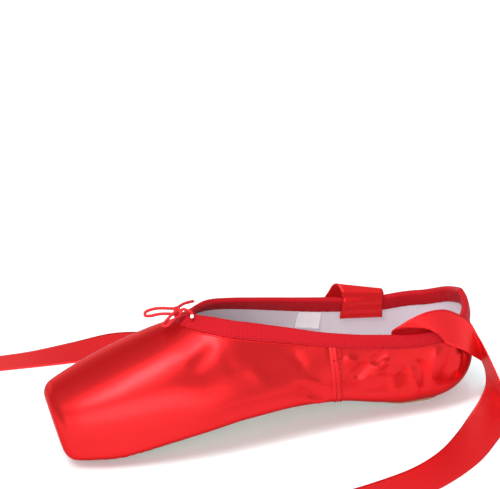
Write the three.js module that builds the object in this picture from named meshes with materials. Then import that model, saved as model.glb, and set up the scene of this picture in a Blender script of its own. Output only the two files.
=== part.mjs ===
import * as THREE from "three";

// Pointe shoe, straight-lasted, standing on its sole. Millimetres, +Z up.
// The toe points along -X. The side seen in most pictures is -Y. The shoe is the same on both sides of y = 0.
// A place along the shoe is its station: the distance behind the toe's flat platform, along the sole.

// Driving sizes
const LENGTH = 230;
const TOE_OVERHANG = 2.6; // how far the leaning platform's upper edge stands ahead of station 0
const TOE_X = -LENGTH / 2 + TOE_OVERHANG;
const HEEL_CENTRE = 197; // station of the upright axis that the heel is swept round
const HEEL_SWEEP = 46; // length along the heel's outline from that station to the very back
const PLATFORM_LEAN = Math.tan(THREE.MathUtils.degToRad(11));
const PLATFORM_LEAN_ENDS = 62;
const PLATFORM_MIDDLE = 19; // height about which the platform leans
const TOE_ROUND = 5; // radius of the platform's soft rim
const TOE_BLOCK = 9; // thickness of the stiffened toe behind the platform
const BLOCK_ROUND = 4;
const THROAT = 76; // station where the collar's opening begins, on the centre line
const SOLE_OPENING = 24; // station where the opening underneath begins
const SOLE_THICK = 1.7;
const FIT_GAP = 0.3; // clear space between curved pieces that meet
const GROUND = SOLE_THICK + FIT_GAP; // height of the upper's underside where the sole lies on the floor
const INSOLE_THICK = 1.6;
const BINDING_THICK = 0.8;
const SEAM_STATION = 144;
const SEAM_WIDTH = 4.6;
const SEAM_RAISE = 0.5;

// The last, a row for each section. at: station, or past HEEL_CENTRE the length along the heel's outline.
// half: half width at the widest. low: underside. wide: height of the widest place.
// crown: top of the closed section, or of the instep that the open collar stops short of.
// squareLow, squareTop: how boxy the corners are.
const SECTIONS = [
  { at: 0, half: 22, low: GROUND + 0.4, wide: 14, crown: 36, squareLow: 3.2, squareTop: 2.4 },
  { at: 6, half: 25, low: GROUND + 0.1, wide: 14.5, crown: 39.2, squareLow: 3.4, squareTop: 2.35 },
  { at: 14, half: 28.5, low: GROUND, wide: 15.5, crown: 43, squareLow: 3.6, squareTop: 2.3 },
  { at: 27, half: 32.4, low: GROUND, wide: 17.7, crown: 48.6, squareLow: 3.75, squareTop: 2.22 },
  { at: 38, half: 34.8, low: GROUND + 2, wide: 19.6, crown: 52.8, squareLow: 3.85, squareTop: 2.18 },
  { at: 56, half: 37.5, low: GROUND + 6, wide: 23, crown: 58.8, squareLow: 4, squareTop: 2 },
  { at: 76, half: 39, low: GROUND + 10, wide: 26.5, crown: 65.2, squareLow: 4.2, squareTop: 1.6 },
  { at: 95, half: 38, low: GROUND + 12.6, wide: 29, crown: 75.2, squareLow: 4.2, squareTop: 1.42 },
  { at: 118, half: 35.5, low: GROUND + 13.5, wide: 29.5, crown: 76.6, squareLow: 4, squareTop: 1.48 },
  { at: 144, half: 33, low: GROUND + 11.4, wide: 28, crown: 77.4, squareLow: 3.8, squareTop: 1.8 },
  { at: 168, half: 32, low: GROUND + 5, wide: 26.5, crown: 79, squareLow: 3.4, squareTop: 2 },
  { at: 186, half: 31.5, low: GROUND + 0.3, wide: 26, crown: 83, squareLow: 2.8, squareTop: 2 },
  { at: 197, half: 31.5, low: GROUND, wide: 26, crown: 85, squareLow: 2.6, squareTop: 2 },
  { at: 243, half: 30.4, low: GROUND, wide: 27, crown: 88, squareLow: 2.2, squareTop: 2 },
];

// Height of the collar's edge.
const COLLAR = [
  { at: 76, height: 65.2 },
  { at: 84, height: 65.6 },
  { at: 98, height: 63.4 },
  { at: 118, height: 58.9 },
  { at: 140, height: 53.6 },
  { at: 165, height: 49 },
  { at: 190, height: 46 },
  { at: 210, height: 46.8 },
  { at: 228, height: 51.6 },
  { at: 243, height: 55 },
];

// Depth of the binding's leaf on the satin, deeper where the drawstring gathers it, and on the lining.
const BINDING = [
  { at: 76, outside: 8.4, inside: 6.6 },
  { at: 100, outside: 8.6, inside: 6.6 },
  { at: 140, outside: 6.4, inside: 6.6 },
  { at: 243, outside: 6.4, inside: 6.6 },
];

// Wall of the upper: paste-stiffened box in front, cloth and lining behind.
const WALL = [
  { at: 0, thick: 3 },
  { at: 50, thick: 2.8 },
  { at: 76, thick: 1.8 },
  { at: 100, thick: 1.5 },
  { at: 243, thick: 1.5 },
];

// Half widths of the outsole, the opening above it and the insole.
const SOLE_FRONT = 15;
const OUTSOLE = [
  { at: 15, half: 12.5 },
  { at: 24, half: 16.5 },
  { at: 45, half: 21 },
  { at: 68, half: 23 },
  { at: 90, half: 20.5 },
  { at: 120, half: 14.5 },
  { at: 148, half: 11.5 },
  { at: 175, half: 12 },
  { at: 197, half: 12.5 },
  { at: 243, half: 13 },
];
const OPENING_INSIDE_SOLE = 4.5; // margin of the upper that the sole covers
const INSOLE_FRONT = 34;
const INSOLE = [
  { at: 34, half: 20 },
  { at: 55, half: 26 },
  { at: 75, half: 27.5 },
  { at: 95, half: 25 },
  { at: 120, half: 21.5 },
  { at: 150, half: 19.5 },
  { at: 180, half: 20 },
  { at: 197, half: 19.6 },
  { at: 220, half: 17.6 },
  { at: 243, half: 16 },
];

// Ribbons of satin, the toe-side edge and the heel-side edge of each, from the collar to the loose end.
const RIBBON_THICK = 0.5;
const FLAP_DEEP = 10.6; // how far below the collar's edge a ribbon's sewn end reaches
const RIBBON_NEAR_STATIONS = [175.5, 197.5];
const RIBBON_FAR_STATIONS = [165.9, 188.7];
const RIBBON_NEAR = [
  ribbonRow([63, -26.6, 49], [84.8, -26.6, 48]),
  ribbonRow([66.2, -31.2, 53.6], [86.2, -31.8, 48.6]),
  ribbonRow([72.2, -32.4, 57.2], [87.6, -33.6, 45.4]),
  ribbonRow([81.1, -31.6, 59.2], [89.6, -34, 41.4]),
  ribbonRow([91.5, -28.5, 57.6], [94.6, -33.4, 38]),
  ribbonRow([99.6, -26.6, 53], [101.6, -30.2, 33.2]),
  ribbonRow([106.6, -23.6, 46.8], [108.6, -23.6, 26.6]),
  ribbonRow([111.2, -22.4, 39], [115.6, -14.6, 19.6]),
  ribbonRow([115.2, -23.4, 30], [119.6, -8.4, 15.4]),
  ribbonRow([118.6, -27, 20], [121.4, -8.4, 9.4]),
  ribbonRow([121.4, -32.4, 9.6], [119.4, -13.6, 4.2]),
  ribbonRow([121.8, -40.4, 1.6], [112.6, -22.6, 1]),
  ribbonRow([114.4, -56, 0.4], [98.8, -40.6, 0.6]),
  ribbonRow([101.6, -72.4, 0.4], [85.6, -57.4, 0.8]),
  ribbonRow([83.8, -91.4, 0.4], [70, -74.4, 1.4]),
  ribbonRow([59.7, -108, 0.4], [50.8, -88.4, 2.4]),
  ribbonRow([32.9, -118.6, 0.4], [27, -97.8, 3.4]),
  ribbonRow([6.4, -124.6, 0.4], [3.4, -103.2, 3.8]),
  ribbonRow([-16, -128, 0.4], [-18, -106.4, 3.4]),
];
const RIBBON_FAR = [
  ribbonRow([53.6, 27, 50.2], [76.9, 26.7, 47.9]),
  ribbonRow([52.9, 26.9, 54.3], [76.9, 26.8, 50]),
  ribbonRow([52, 29.4, 57.4], [76.6, 29.4, 51]),
  ribbonRow([50.4, 32.8, 56.2], [74.8, 33.4, 49.8]),
  ribbonRow([48, 35.6, 51], [71, 37.6, 45.4]),
  ribbonRow([41.6, 38.8, 40.6], [62.6, 43.8, 35]),
  ribbonRow([33, 42.6, 28], [50.6, 52.4, 20]),
  ribbonRow([22.4, 49.4, 15], [37.4, 63.6, 8]),
  ribbonRow([9.4, 59.6, 5.4], [22, 77.4, 2.6]),
  ribbonRow([-6, 75.6, 1.4], [5.6, 94.2, 1]),
  ribbonRow([-21, 92.6, 0.4], [-11.4, 112.2, 2.4]),
  ribbonRow([-37.6, 106.6, 0.4], [-31.4, 126.6, 5.6]),
  ribbonRow([-58, 113.4, 0.4], [-56, 133.8, 7]),
  ribbonRow([-81.4, 114.7, 0.4], [-81, 136, 4.4]),
  ribbonRow([-104.8, 117.5, 0.4], [-106.4, 139.4, 1.4]),
  ribbonRow([-126.6, 120.6, 0.4], [-129, 142.4, 0.6]),
  ribbonRow([-140, 122.4, 0.4], [-142.4, 144.2, 0.6]),
];

// The drawstring's bow on the throat.
const DRAWSTRING = 1.7;
const KNOT = [-43.2, 0, 67.8];
const KNOT_HALF = [2.4, 2.5, 2.8];
const LOOP_FAR = [
  [-46, 1.7, 69.6],
  [-49.2, 2.8, 69.9],
  [-52.4, 3.9, 69.9],
  [-55.6, 5.1, 69.3],
  [-58.5, 5.9, 68],
  [-58.9, 4.5, 66.8],
  [-56.4, 2.9, 66.8],
  [-53.2, 1.5, 67.6],
  [-49.8, 0.4, 67.8],
  [-46.4, -0.6, 67.5],
];
const LOOP_NEAR = [
  [-45.4, -2.8, 68.5],
  [-48.4, -4.2, 67],
  [-50.9, -5.3, 65.3],
  [-52.3, -6.9, 64.2],
  [-50.2, -8.1, 64.6],
  [-47.4, -7, 65.9],
  [-44.8, -5.4, 66.8],
  [-42.4, -3.8, 67],
];
const END_FAR = [
  [-41.6, 2.3, 69.6],
  [-38.4, 3.8, 70.3],
  [-35.2, 5, 70.2],
  [-32.4, 6.1, 70],
];
const END_NEAR = [
  [-41.1, -2, 69.2],
  [-38.8, -3.2, 69.4],
  [-37.2, -4.4, 68.8],
  [-36.6, -6, 68],
  [-37, -7.8, 67.3],
];

// The size tag on the far side's lining.
const TAG_STATIONS = [143, 156];
const TAG_DEEP = [7, 18];
const TAG_THICK = 0.4;

// A smooth curve through one column of a table. It stays level between two equal rows and never overshoots.
function smooth(table, column, at) {
  const last = table.length - 1;
  if (at <= table[0].at) return table[0][column];
  if (at >= table[last].at) return table[last][column];
  let row = 0;
  while (at > table[row + 1].at) row += 1;
  const slope = (i) => (table[i + 1][column] - table[i][column]) / (table[i + 1].at - table[i].at);
  const tangent = (i) => {
    if (i === 0) return slope(0);
    if (i === last) return slope(last - 1);
    const before = slope(i - 1);
    const after = slope(i);
    return before * after <= 0 ? 0 : (2 * before * after) / (before + after);
  };
  const span = table[row + 1].at - table[row].at;
  const u = (at - table[row].at) / span;
  const start = table[row][column];
  const end = table[row + 1][column];
  return (
    start * (1 + 2 * u) * (1 - u) * (1 - u) +
    end * u * u * (3 - 2 * u) +
    span * u * (1 - u) * (tangent(row) * (1 - u) - tangent(row + 1) * u)
  );
}

const signedPower = (value, power) => Math.sign(value) * Math.pow(Math.abs(value), power);

// How far the soft rim pulls a section in, near the platform that lies at station front.
function rimInset(at, front, radius) {
  const left = Math.max(0, radius - (at - front));
  return radius - Math.sqrt(Math.max(0, radius * radius - left * left));
}

const wallThickness = (at) => smooth(WALL, "thick", at);

// A point of the last. at: station. round: 0 on the centre line underneath, 0.5 at the widest place, 1 on the
// centre line on top. inset: distance inside the outer surface, or outside it where negative.
function lastPoint(at, round, inset) {
  const row = {};
  for (const column of ["half", "low", "wide", "crown", "squareLow", "squareTop"]) {
    row[column] = smooth(SECTIONS, column, at);
  }
  const half = row.half - inset;
  const low = row.low + inset;
  const crown = row.crown - inset;
  let out;
  let height;
  if (round < 0.5) {
    const angle = round * Math.PI;
    out = half * Math.pow(Math.sin(angle), 2 / row.squareLow);
    height = row.wide - (row.wide - low) * Math.pow(Math.cos(angle), 2 / row.squareLow);
  } else {
    const angle = (round - 0.5) * Math.PI;
    out = half * signedPower(Math.cos(angle), 2 / row.squareTop);
    height = row.wide + (crown - row.wide) * Math.pow(Math.sin(angle), 2 / row.squareTop);
  }
  return placed(at, out, height);
}

// The place of a point at a station, so far out from the centre line and so high.
function placed(at, out, height) {
  const turn = at <= HEEL_CENTRE ? 0 : ((at - HEEL_CENTRE) / HEEL_SWEEP) * (Math.PI / 2);
  const fade = Math.max(0, 1 - Math.max(0, at) / PLATFORM_LEAN_ENDS);
  const lean = PLATFORM_LEAN * fade * fade * (PLATFORM_MIDDLE - height);
  const x = TOE_X + Math.min(at, HEEL_CENTRE) + out * Math.sin(turn) + lean;
  return new THREE.Vector3(x, -out * Math.cos(turn), height);
}

// Where on a section its height is the collar's.
function collarRound(at) {
  if (at <= THROAT) return 1;
  const wide = smooth(SECTIONS, "wide", at);
  const crown = smooth(SECTIONS, "crown", at);
  const share = Math.min(1, (smooth(COLLAR, "height", at) - wide) / (crown - wide));
  return 0.5 + Math.asin(Math.pow(share, smooth(SECTIONS, "squareTop", at) / 2)) / Math.PI;
}

// Where on a section it is so far out from the centre line underneath.
function lowRound(at, out, inset) {
  const half = smooth(SECTIONS, "half", at) - inset;
  const share = Math.min(1, Math.max(0, out) / half);
  return Math.asin(Math.pow(share, smooth(SECTIONS, "squareLow", at) / 2)) / Math.PI;
}

// Half width of the opening underneath: a round end in front, then the sole's own outline less its margin.
function openingHalf(at) {
  if (at <= SOLE_OPENING) return 0;
  const behind = at - SOLE_OPENING;
  const roundEnd = Math.sqrt(behind * 22);
  return Math.min(roundEnd, smooth(OUTSOLE, "half", at) - OPENING_INSIDE_SOLE);
}

// A mesh built from quads and triangles of points. Points in one place become one vertex.
class Skin {
  constructor() {
    this.places = [];
    this.faces = [];
    this.found = new Map();
  }

  vertex(point) {
    const key = [point.x, point.y, point.z].map((value) => Math.round(value * 1000)).join(" ");
    if (!this.found.has(key)) {
      this.found.set(key, this.places.length / 3);
      this.places.push(point.x, point.y, point.z);
    }
    return this.found.get(key);
  }

  triangle(a, b, c) {
    const [i, j, k] = [this.vertex(a), this.vertex(b), this.vertex(c)];
    if (i !== j && j !== k && k !== i) this.faces.push(i, j, k);
  }

  quad(a, b, c, d) {
    this.triangle(a, b, c);
    this.triangle(a, c, d);
  }

  // The same quad on both sides of y = 0, facing out on each.
  pair(a, b, c, d) {
    this.quad(a, b, c, d);
    const [e, f, g, h] = [d, c, b, a].map(mirrored);
    this.quad(e, f, g, h);
  }

  geometry() {
    const made = new THREE.BufferGeometry();
    made.setAttribute("position", new THREE.Float32BufferAttribute(this.places, 3));
    made.setIndex(this.faces);
    return made;
  }
}

const mirrored = (point) => new THREE.Vector3(point.x, -point.y, point.z);

// Numbers from start to end in equal steps, both ends included.
function steps(start, end, count) {
  return Array.from({ length: count + 1 }, (_, i) => start + ((end - start) * i) / count);
}

// The stations where the two openings have begun, closer together where an outline turns fast.
const HEEL_END = HEEL_CENTRE + HEEL_SWEEP;
const OPEN_STATIONS = [
  ...[0, 0.7, 2.6, 6].map((behind) => SOLE_OPENING + behind),
  ...[37, 45, 54, 63, 70],
  ...[0, 0.5, 2, 4.5, 7.5, 11.5, 16].map((behind) => THROAT + behind),
  ...[97, 106, 115, 125, 134],
  ...[-0.4, 0, SEAM_WIDTH, SEAM_WIDTH + 0.4].map((along) => SEAM_STATION - SEAM_WIDTH / 2 + along),
  ...[153, 162, 171, 180, 189],
  ...steps(HEEL_CENTRE, HEEL_END, 9),
];
const LOW_ROWS = 6; // from the opening underneath to the widest place
const HIGH_ROWS = 7; // from there to the collar or the crown

const SEAM_LOWEST_ROW = 3; // the raised seam runs out before the outsole
const SEAM_HIGHEST_ROW = LOW_ROWS + HIGH_ROWS - 2; // and before the binding

function seamRaise(at, row) {
  const onSeam = Math.abs(at - SEAM_STATION) < SEAM_WIDTH / 2 + 0.1;
  return onSeam && row >= SEAM_LOWEST_ROW && row <= SEAM_HIGHEST_ROW ? SEAM_RAISE : 0;
}

// One column of points of the upper, from underneath to the top. inner: on the lining's side.
function upperColumn(at, inset, inner) {
  const start = lowRound(at, openingHalf(at), inner ? inset : 0);
  const end = collarRound(at);
  const rounds = [...steps(start, 0.5, LOW_ROWS), ...steps(0.5, end, HIGH_ROWS).slice(1)];
  return rounds.map((round, row) => lastPoint(at, round, inset - (inner ? 0 : seamRaise(at, row))));
}

// The closed end of the toe: the soft rim and the flat behind it, shrinking to a point in the middle.
function toeColumns(front, radius, inset, inner) {
  const middle = placed(front, 0, PLATFORM_MIDDLE);
  middle.y = 0;
  const rim = upperColumn(front, inset + radius, inner);
  const flat = [0.02, 0.5].map((share) => rim.map((point) => middle.clone().lerp(point, share)));
  const tip = rim.map(() => middle.clone());
  const rounded = steps(0, 1, 3)
    .slice(1)
    .map((share) => {
      const at = front + radius * (1 - Math.cos((share * Math.PI) / 2));
      return upperColumn(at, inset + rimInset(at, front, radius), inner);
    });
  return [tip, flat[1], rim, ...rounded];
}

function sweepColumns(skin, columns, facingIn) {
  for (let i = 0; i + 1 < columns.length; i += 1) {
    for (let j = 0; j + 1 < columns[i].length; j += 1) {
      const quad = [columns[i][j], columns[i + 1][j], columns[i + 1][j + 1], columns[i][j + 1]];
      if (facingIn) quad.reverse();
      skin.pair(...quad);
    }
  }
}

function upperGeometry() {
  const skin = new Skin();
  const outerOpen = OPEN_STATIONS.map((at) => upperColumn(at, 0, false));
  const innerOpen = OPEN_STATIONS.map((at) => upperColumn(at, wallThickness(at), true));
  const outerToe = toeColumns(0, TOE_ROUND, 0, false);
  const innerToe = toeColumns(TOE_BLOCK, BLOCK_ROUND, wallThickness(TOE_BLOCK), true);
  const outerBox = [10, 16, 20].map((at) => upperColumn(at, 0, false));
  const innerBox = [18].map((at) => upperColumn(at, wallThickness(at), true));
  sweepColumns(skin, [...outerToe, ...outerBox, ...outerOpen], false);
  sweepColumns(skin, [...innerToe, ...innerBox, ...innerOpen], true);
  const top = LOW_ROWS + HIGH_ROWS;
  for (let i = 0; i + 1 < OPEN_STATIONS.length; i += 1) {
    const [a, b, c, d] = [outerOpen[i], outerOpen[i + 1], innerOpen[i + 1], innerOpen[i]];
    skin.pair(d[0], c[0], b[0], a[0]);
    if (OPEN_STATIONS[i] >= THROAT) skin.pair(a[top], b[top], c[top], d[top]);
  }
  return skin.geometry();
}

// The upper's own stations behind one place, without the ones that only crowd round the throat and the seam.
function boardStations(from) {
  return OPEN_STATIONS.filter((at, i) => at >= from && (i === 0 || at - OPEN_STATIONS[i - 1] > 2.4));
}

// A flat board that follows the shoe's underside. halfAt gives its outline, topAt its upper face.
function boardGeometry(stations, halfAt, topAt, thick) {
  const skin = new Skin();
  const shares = [0, 0.5, 0.84, 1];
  const rows = stations.map((at) => {
    const top = shares.map((share) => placed(at, halfAt(at) * share, topAt(at)));
    const under = shares.map((share) => placed(at, halfAt(at) * share, topAt(at) - thick));
    return [...under, ...top.reverse()];
  });
  for (let i = 0; i + 1 < rows.length; i += 1) {
    for (let j = 0; j + 1 < rows[i].length; j += 1) {
      skin.pair(rows[i][j], rows[i + 1][j], rows[i + 1][j + 1], rows[i][j + 1]);
    }
  }
  const count = shares.length;
  for (let j = 0; j + 1 < count; j += 1) {
    const first = rows[0];
    skin.pair(first[j], first[j + 1], first[2 * count - 2 - j], first[2 * count - 1 - j]);
  }
  return skin.geometry();
}

function outsoleGeometry() {
  const roundFront = (at) => Math.min(1, Math.sqrt((at - SOLE_FRONT + 1.4) / 7));
  const halfAt = (at) => smooth(OUTSOLE, "half", at) * roundFront(at);
  const topAt = (at) => smooth(SECTIONS, "low", at) - FIT_GAP;
  const front = [0, 1, 2.5, 5.5].map((behind) => SOLE_FRONT + behind);
  return boardGeometry([...front, ...boardStations(SOLE_FRONT + 9)], halfAt, topAt, SOLE_THICK);
}

function insoleGeometry() {
  const roundFront = (at) => Math.min(1, Math.sqrt((at - INSOLE_FRONT + 2) / 12));
  const halfAt = (at) => smooth(INSOLE, "half", at) * roundFront(at);
  const topAt = (place) => {
    const at = Math.min(place, HEEL_CENTRE);
    const inset = wallThickness(at);
    const edge = lastPoint(at, lowRound(at, halfAt(at), inset), inset);
    return edge.z + FIT_GAP + 0.15 + INSOLE_THICK;
  };
  const front = [0, 1.5, 4].map((behind) => INSOLE_FRONT + behind);
  return boardGeometry([...front, ...boardStations(INSOLE_FRONT + 5)], halfAt, topAt, INSOLE_THICK);
}

// Directions on the outer surface along the station and round the section, in millimetres per unit.
function surfaceSlopes(at, round, inset) {
  const alongStep = 0.2;
  const roundStep = 0.002;
  const along = lastPoint(at + alongStep, round, inset).sub(lastPoint(at - alongStep, round, inset));
  const across = lastPoint(at, round + roundStep, inset).sub(lastPoint(at, round - roundStep, inset));
  return { along: along.divideScalar(2 * alongStep), across: across.divideScalar(2 * roundStep) };
}

// The collar at a station: the edge's round, and the direction off the edge into the opening.
function collarFrame(at) {
  const step = 0.15;
  const start = Math.max(THROAT, at - step);
  const end = Math.min(HEEL_END, at + step);
  const tangent = lastPoint(end, collarRound(end), 0).sub(lastPoint(start, collarRound(start), 0));
  if (at <= THROAT) tangent.set(0, -1, 0);
  if (at >= HEEL_END) tangent.set(0, 1, 0);
  tangent.normalize();
  const round = collarRound(at);
  const { along, across } = surfaceSlopes(at, round, 0);
  const normal = new THREE.Vector3().crossVectors(along, across).normalize();
  const off = new THREE.Vector3().crossVectors(normal, tangent).normalize();
  return { round, off };
}

// A point near the collar: so deep below its edge, so far out from the satin or in from the lining,
// and so far off the edge.
function collarPoint(at, depth, { outside, inside }, offEdge) {
  const { round, off } = collarFrame(at);
  const paces = Math.max(1, Math.ceil(depth / 2));
  const place = { at, round };
  for (let i = 0; i < paces; i += 1) {
    const { along, across } = surfaceSlopes(place.at, place.round, 0);
    const [a, b, c] = [along.dot(along), along.dot(across), across.dot(across)];
    const [p, q] = [(-depth / paces) * off.dot(along), (-depth / paces) * off.dot(across)];
    place.at += (p * c - q * b) / (a * c - b * b);
    place.round += (a * q - b * p) / (a * c - b * b);
  }
  const inset = outside === undefined ? wallThickness(place.at) + inside : -outside;
  return lastPoint(place.at, place.round, inset).addScaledVector(off, offEdge);
}

// The binding: a folded casing with one leaf on the satin and one on the lining.
// The section's rows are its corners, in order round the fold.
function bindingGeometry() {
  const face = FIT_GAP + BINDING_THICK;
  const section = [
    { share: 1, on: { outside: face }, off: 0 },
    { share: 0.5, on: { outside: face }, off: 0 },
    { share: 0, on: { outside: face }, off: 0 },
    { share: 0, on: { outside: face / 2 }, off: face },
    { share: 0, on: { inside: face / 2 }, off: face },
    { share: 0, on: { inside: face }, off: 0 },
    { share: 1, on: { inside: face }, off: 0 },
    { share: 1, on: { inside: FIT_GAP + 0.3 }, off: 0 },
    { share: 0.5, on: { inside: FIT_GAP + 0.3 }, off: 0 },
    { share: 0, on: { inside: FIT_GAP }, off: FIT_GAP },
    { share: 0, on: { outside: FIT_GAP }, off: FIT_GAP },
    { share: 0.5, on: { outside: FIT_GAP + 0.1 }, off: 0 },
    { share: 1, on: { outside: FIT_GAP + 0.1 }, off: 0 },
  ];
  const skin = new Skin();
  const columns = OPEN_STATIONS.filter((at) => at >= THROAT).map((at) => {
    const column = section.map(({ share, on, off }) => {
      const leaf = on.outside === undefined ? "inside" : "outside";
      return collarPoint(at, share * smooth(BINDING, leaf, at), on, off);
    });
    if (at === THROAT || at === HEEL_END) column.forEach((point) => point.setY(0));
    return column;
  });
  for (let i = 0; i + 1 < columns.length; i += 1) {
    const count = columns[i].length;
    for (let j = 0; j < count; j += 1) {
      const next = (j + 1) % count;
      skin.pair(columns[i][j], columns[i + 1][j], columns[i + 1][next], columns[i][next]);
    }
  }
  return skin.geometry();
}

// A smooth curve through points given as x, y, z.
function smoothPath(points) {
  const corners = points.map((point) => new THREE.Vector3(...point));
  return new THREE.CatmullRomCurve3(corners, false, "centripetal");
}

// A thin strip with a row for each place along it: the middle and the half width, as x, y, z.
function stripGeometry(rows, thick) {
  const middles = smoothPath(rows.map(({ middle }) => middle));
  const halves = smoothPath(rows.map(({ half }) => half));
  const count = (rows.length - 1) * 3;
  const corners = Array.from({ length: count + 1 }, (_, i) => {
    const share = i / count;
    const middle = middles.getPoint(share);
    const half = halves.getPoint(share);
    const face = new THREE.Vector3().crossVectors(middles.getTangent(share), half).setLength(thick / 2);
    return [
      middle.clone().add(half).add(face),
      middle.clone().sub(half).add(face),
      middle.clone().sub(half).sub(face),
      middle.clone().add(half).sub(face),
    ];
  });
  const skin = new Skin();
  corners.slice(1).forEach((after, i) => {
    const before = corners[i];
    for (let j = 0; j < 4; j += 1) skin.quad(before[j], before[(j + 1) % 4], after[(j + 1) % 4], after[j]);
  });
  const [first, last] = [corners[0], corners[count]];
  skin.quad(first[3], first[2], first[1], first[0]);
  skin.quad(...last);
  return skin.geometry();
}

// A ribbon's row from its two edges. The left edge is towards the toe where the ribbon leaves the collar.
function ribbonRow(left, right) {
  const middle = left.map((value, i) => (value + right[i]) / 2);
  const half = left.map((value, i) => (value - right[i]) / 2);
  return { middle, half };
}

// A flat patch on the lining, from one station to another and from one depth below the collar to another.
function liningPatch(from, to, shallow, deep, lift, thick, side) {
  const skin = new Skin();
  const acrossCount = 4;
  const downCount = 4;
  const face = (extra) =>
    steps(from, to, acrossCount).map((at) =>
      steps(shallow, deep, downCount).map((depth) => {
        const point = collarPoint(at, Math.max(0, depth), { inside: lift + extra }, Math.max(0, -depth));
        return side < 0 ? point : mirrored(point);
      }),
    );
  const [near, far] = side < 0 ? [face(0), face(thick)] : [face(thick), face(0)];
  const quadBoth = (i, j) => {
    skin.quad(near[i][j], near[i][j + 1], near[i + 1][j + 1], near[i + 1][j]);
    skin.quad(far[i + 1][j], far[i + 1][j + 1], far[i][j + 1], far[i][j]);
  };
  for (let i = 0; i < acrossCount; i += 1) {
    for (let j = 0; j < downCount; j += 1) quadBoth(i, j);
  }
  for (let i = 0; i < acrossCount; i += 1) {
    skin.quad(near[i][0], near[i + 1][0], far[i + 1][0], far[i][0]);
    skin.quad(near[i + 1][downCount], near[i][downCount], far[i][downCount], far[i + 1][downCount]);
  }
  for (let j = 0; j < downCount; j += 1) {
    skin.quad(near[0][j + 1], near[0][j], far[0][j], far[0][j + 1]);
    skin.quad(near[acrossCount][j], near[acrossCount][j + 1], far[acrossCount][j + 1], far[acrossCount][j]);
  }
  return skin.geometry();
}

// A round cord along hand-placed points.
function cordGeometry(points) {
  const path = smoothPath(points);
  const sides = 8;
  const outline = new THREE.Shape(
    Array.from({ length: sides }, (_, i) => {
      const angle = (i / sides) * 2 * Math.PI;
      return new THREE.Vector2(Math.cos(angle), Math.sin(angle)).multiplyScalar(DRAWSTRING / 2);
    }),
  );
  const pieces = Math.ceil(path.getLength() / (1.6 * DRAWSTRING));
  return new THREE.ExtrudeGeometry(outline, { extrudePath: path, steps: pieces });
}

function knotGeometry() {
  const made = new THREE.IcosahedronGeometry(1, 2);
  made.scale(...KNOT_HALF);
  made.translate(...KNOT);
  made.deleteAttribute("normal");
  made.deleteAttribute("uv");
  return made;
}

function material(color, roughness, metalness = 0) {
  return new THREE.MeshStandardMaterial({ color, roughness, metalness });
}

const SATIN = material(0xe01c28, 0.35);
const SOLE_LEATHER = material(0xc9a27c, 0.8);
const BOARD = material(0xd8d2cd, 0.9);
const COTTON = material(0xc4202f, 0.75);
const RIBBON_SATIN = material(0xe8202c, 0.4);
const TAG_CLOTH = material(0xf1ecf2, 0.85);

const shoe = new THREE.Group();

function add(name, geometry, finish) {
  const mesh = new THREE.Mesh(geometry, finish);
  mesh.name = name;
  shoe.add(mesh);
  return mesh;
}

add("upper", upperGeometry(), SATIN);
add("outsole", outsoleGeometry(), SOLE_LEATHER);
add("insole", insoleGeometry(), BOARD);
add("binding", bindingGeometry(), COTTON);
const overBinding = 2 * FIT_GAP + BINDING_THICK;
for (const [name, stations, side, rows] of [
  ["near", RIBBON_NEAR_STATIONS, -1, RIBBON_NEAR],
  ["far", RIBBON_FAR_STATIONS, 1, RIBBON_FAR],
]) {
  const flap = liningPatch(...stations, -1.2, FLAP_DEEP, overBinding, RIBBON_THICK, side);
  add(`ribbon_${name}_flap`, flap, RIBBON_SATIN);
  add(`ribbon_${name}`, stripGeometry(rows, RIBBON_THICK), RIBBON_SATIN);
}
add("size_tag", liningPatch(...TAG_STATIONS, ...TAG_DEEP, FIT_GAP, TAG_THICK, 1), TAG_CLOTH);
add("bow_knot", knotGeometry(), COTTON);
for (const [name, points] of [
  ["bow_loop_far", LOOP_FAR],
  ["bow_loop_near", LOOP_NEAR],
  ["bow_end_far", END_FAR],
  ["bow_end_near", END_NEAR],
]) {
  add(name, cordGeometry(points), COTTON);
}

export default shoe;
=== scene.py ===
import math

import bmesh
import bpy
import numpy as np
from mathutils import Matrix, Vector


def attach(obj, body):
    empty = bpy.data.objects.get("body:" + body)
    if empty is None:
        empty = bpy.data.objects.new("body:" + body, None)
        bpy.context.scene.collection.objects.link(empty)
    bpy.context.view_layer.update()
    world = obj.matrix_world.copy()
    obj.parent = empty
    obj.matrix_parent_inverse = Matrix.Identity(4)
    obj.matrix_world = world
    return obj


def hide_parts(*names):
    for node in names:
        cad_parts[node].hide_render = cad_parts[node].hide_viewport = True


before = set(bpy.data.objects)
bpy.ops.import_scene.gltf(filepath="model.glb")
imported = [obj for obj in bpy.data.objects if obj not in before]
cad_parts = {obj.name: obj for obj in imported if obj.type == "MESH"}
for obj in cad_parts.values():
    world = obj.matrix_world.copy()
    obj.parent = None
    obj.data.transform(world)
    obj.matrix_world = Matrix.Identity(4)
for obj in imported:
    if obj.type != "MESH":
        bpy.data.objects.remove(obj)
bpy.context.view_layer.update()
MM = 0.001

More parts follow.
